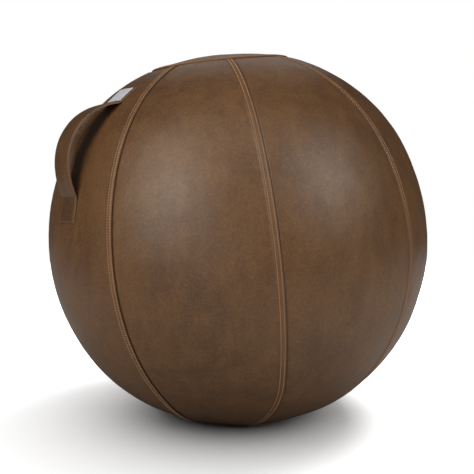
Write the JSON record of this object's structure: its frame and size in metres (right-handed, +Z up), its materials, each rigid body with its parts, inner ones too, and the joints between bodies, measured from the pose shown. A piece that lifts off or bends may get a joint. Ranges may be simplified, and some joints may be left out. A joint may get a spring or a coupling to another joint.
{
  "type": "covered sitting ball",
  "caption": "Round sitting ball: an inflatable ball in a sewn leather-look cover with a carry handle, a zipped anti-slip base and a stabilising ring.",
  "frame": {"origin": "middle of the flat base, at the floor", "axes": "+Z up from the floor through the ball's centre; -Y is the side the picture shows; the handle is on the -X, -Y side"},
  "size_m": [0.6483, 0.6484, 0.6251],
  "materials": {
    "cover_leather": "brown waxed leather-look upholstery with fine grain, soft mottling and tan topstitching",
    "handle_leather": "the same leather-look, folded into a strap and a padded grip",
    "handle_foam": "soft open-cell foam",
    "label_fabric": "pale blue-white woven patch, blank",
    "anti_slip": "black dotted anti-slip backing, matt",
    "zip_tape": "dark brown woven tape",
    "zip_coil": "dark brown nylon coil",
    "zip_metal": "nickel-plated die-cast slider, pull and stops",
    "ring_plastic": "dark grey moulded ring",
    "bladder_vinyl": "grey-blue burst-resistant vinyl with a satin shine",
    "valve_rubber": "pale soft rubber collar",
    "valve_plastic": "white moulded plug"
  },
  "bodies": {
    "ball": {"gore_panel_1": "cover_leather", "gore_panel_2": "cover_leather", "gore_panel_3": "cover_leather", "gore_panel_4": "cover_leather", "gore_panel_5": "cover_leather", "gore_panel_6": "cover_leather", "gore_panel_7": "cover_leather", "gore_panel_8": "cover_leather", "crown_panel": "cover_leather", "handle_lower_tab": "handle_leather", "handle_upper_tab": "handle_leather", "label_patch": "label_fabric", "base_panel_front": "anti_slip", "base_panel_rear": "anti_slip", "zip_tape_front": "zip_tape", "zip_tape_rear": "zip_tape", "zip_coil_front": "zip_coil", "zip_coil_rear": "zip_coil", "zip_stop_closed_end": "zip_metal", "zip_stop_open_end": "zip_metal", "stabilising_ring": "ring_plastic", "inflatable_bladder": "bladder_vinyl", "valve_seat": "valve_rubber"},
    "handle_grip": {"handle_strap": "handle_leather", "handle_grip_wrap": "handle_leather", "handle_foam": "handle_foam"},
    "zip_runner": {"zip_slider": "zip_metal"},
    "zip_pull_tab": {"zip_pull": "zip_metal"},
    "air_plug": {"valve_plug": "valve_plastic"}
  },
  "joints": [
    {"name": "handle_swing", "type": "hinge", "parent": "ball", "child": "handle_grip", "pos_m": [-0.25915, -0.17912, 0.39272], "axis": [0.3678, 0.3294, 0.8696], "range_deg": [-22, 22], "stiffness_Nm_per_rad": 0.4},
    {"name": "zip_slide", "type": "slide", "parent": "ball", "child": "zip_runner", "axis": [1, 0, 0], "range_m": [0, 0.134]},
    {"name": "zip_pull_flip", "type": "hinge", "parent": "zip_runner", "child": "zip_pull_tab", "pos_m": [-0.073, 0, 0.002], "axis": [0, 1, 0], "range_deg": [0, 150]},
    {"name": "valve_plug_pull", "type": "slide", "parent": "ball", "child": "air_plug", "axis": [0, 0, -1], "range_m": [0, 0.0165]}
  ]
}
